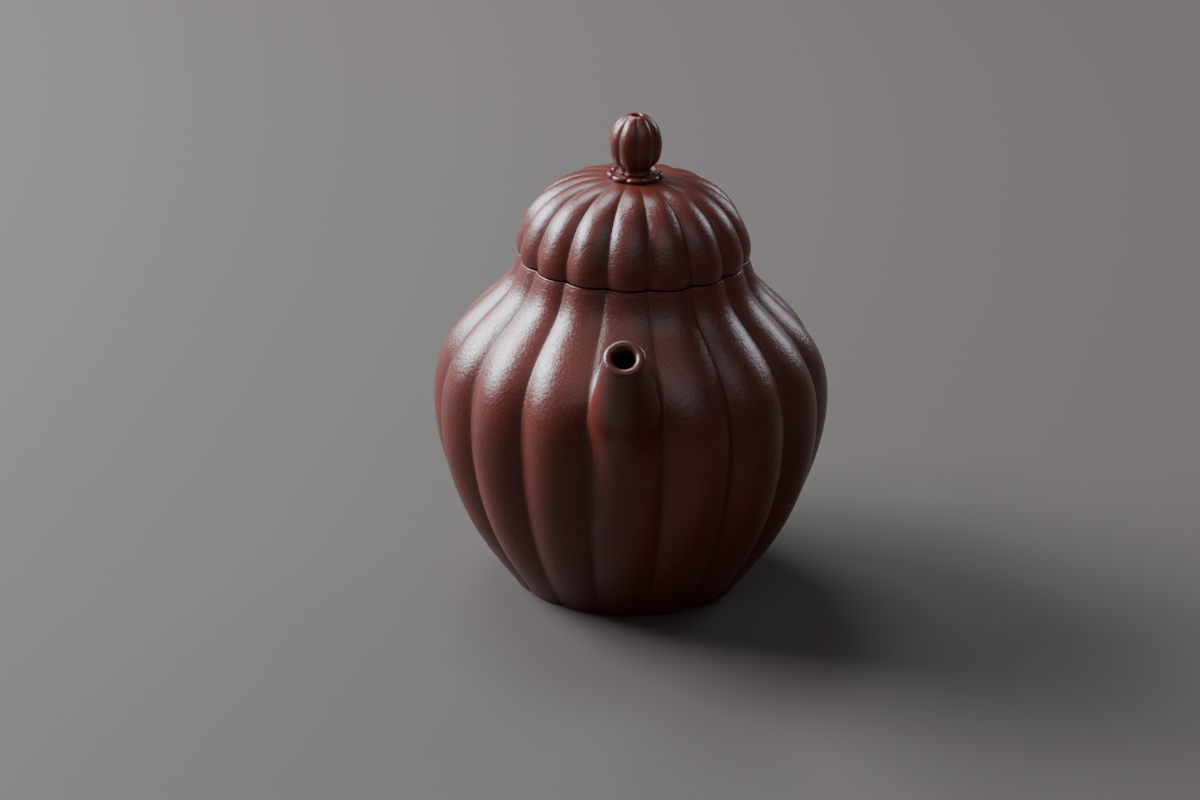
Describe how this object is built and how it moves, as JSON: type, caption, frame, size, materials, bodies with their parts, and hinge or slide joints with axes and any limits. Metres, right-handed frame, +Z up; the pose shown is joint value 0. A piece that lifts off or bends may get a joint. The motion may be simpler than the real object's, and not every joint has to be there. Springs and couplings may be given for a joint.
{
  "type": "teapot",
  "caption": "Ribbed unglazed stoneware teapot with a short spout, an ear handle and a lift-off domed lid with a fluted knob, all of one brown-red clay.",
  "frame": {"origin": "on the pot's axis, in the plane of the ring it stands on", "axes": "+Z up along the pot's axis; the spout points to -Y and the handle to +Y; +X to the right seen from the spout"},
  "size_m": [0.0806, 0.1218, 0.0984],
  "materials": {
    "burnished_clay": "burnished unglazed zisha stoneware, satin",
    "plain_clay": "scraped unglazed zisha stoneware, matt"
  },
  "bodies": {
    "pot": {"lower_wall": "burnished_clay", "upper_wall": "burnished_clay", "base_disc": "plain_clay", "mouth_ring": "plain_clay", "spout": "burnished_clay", "strainer": "plain_clay", "handle": "burnished_clay"},
    "flange": {"lid_flange": "plain_clay"},
    "lid": {"lid_dome": "burnished_clay", "lid_collar": "burnished_clay", "knob": "burnished_clay"}
  },
  "joints": [
    {"name": "lid_lift", "type": "slide", "parent": "pot", "child": "flange", "axis": [0, 0, 1], "range_m": [0, 0.05]},
    {"name": "lid_turn", "type": "hinge", "parent": "flange", "child": "lid", "pos_m": [0, 0, 0.07], "axis": [0, 0, 1], "continuous": true}
  ]
}
